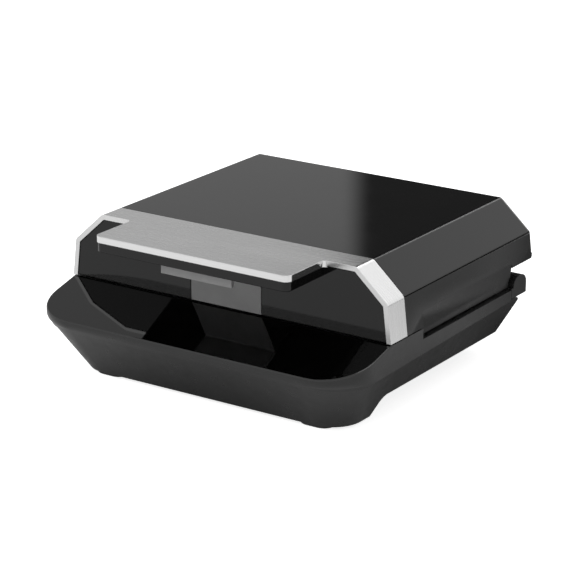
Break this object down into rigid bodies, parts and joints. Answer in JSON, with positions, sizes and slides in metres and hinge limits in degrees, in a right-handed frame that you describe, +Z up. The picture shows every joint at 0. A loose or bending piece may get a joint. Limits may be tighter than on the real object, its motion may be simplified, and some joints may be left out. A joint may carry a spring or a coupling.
{
  "type": "breakfast sandwich maker",
  "caption": "Electric sandwich press: hinged lid and base with triangular sealing pockets, brushed steel band that forms the handle, and a finger latch under it.",
  "frame": {"origin": "middle of the footprint, at the soles of the feet", "axes": "+X across to the right seen from the front, +Y from the handle to the hinge, +Z up"},
  "size_m": [0.26, 0.2458, 0.1067],
  "materials": {
    "gloss_black_plastic": "high gloss, moulded",
    "satin_black_plastic": "satin, moulded",
    "brushed_steel": "brushed along its length",
    "grey_plastic": "satin grey",
    "nonstick_plate": "cast, dark non-stick coat",
    "aluminium_sheet": "bright mill finish",
    "heater_sheath": "dull, heat-tinted",
    "rubber": "matt",
    "zinc_steel": "zinc plated",
    "spring_steel": "bright drawn",
    "thermostat_steel": "plated cap",
    "fuse_sleeve": "woven glass sleeve",
    "ceramic": "unglazed",
    "wire_insulation": "silicone",
    "black_nylon": "moulded nylon"
  },
  "bodies": {
    "base": {"base_tub": "satin_black_plastic", "base_deck": "gloss_black_plastic", "rubber_feet": "rubber", "base_screws": "zinc_steel", "lower_cooking_plate": "nonstick_plate", "lower_heating_element": "heater_sheath", "lower_element_clips": "zinc_steel", "lower_reflector": "aluminium_sheet", "lower_plate_screws": "zinc_steel", "thermostat": "thermostat_steel", "thermal_fuse": "fuse_sleeve", "terminal_block": "ceramic", "internal_wires": "wire_insulation", "cord_gland": "black_nylon", "hinge_pins": "zinc_steel"},
    "lid": {"lid_cover": "gloss_black_plastic", "lid_frame": "satin_black_plastic", "front_panel": "gloss_black_plastic", "steel_band": "brushed_steel", "handle_trim": "satin_black_plastic", "handle_screws": "zinc_steel", "upper_cooking_plate": "nonstick_plate", "upper_heating_element": "heater_sheath", "upper_element_clips": "zinc_steel", "upper_reflector": "aluminium_sheet", "upper_plate_screws": "zinc_steel", "lid_screws": "zinc_steel", "latch_pin": "zinc_steel", "latch_spring": "spring_steel"},
    "latch": {"latch_lever": "grey_plastic"}
  },
  "joints": [
    {"name": "lid_hinge", "type": "hinge", "parent": "base", "child": "lid", "pos_m": [0, 0.1002, 0.0514], "axis": [-1, 0, 0], "range_deg": [0, 105]},
    {"name": "latch_pivot", "type": "hinge", "parent": "lid", "child": "latch", "pos_m": [0, -0.0639, 0.0829], "axis": [-1, 0, 0], "range_deg": [-3, 8], "stiffness_Nm_per_rad": 0.3}
  ]
}
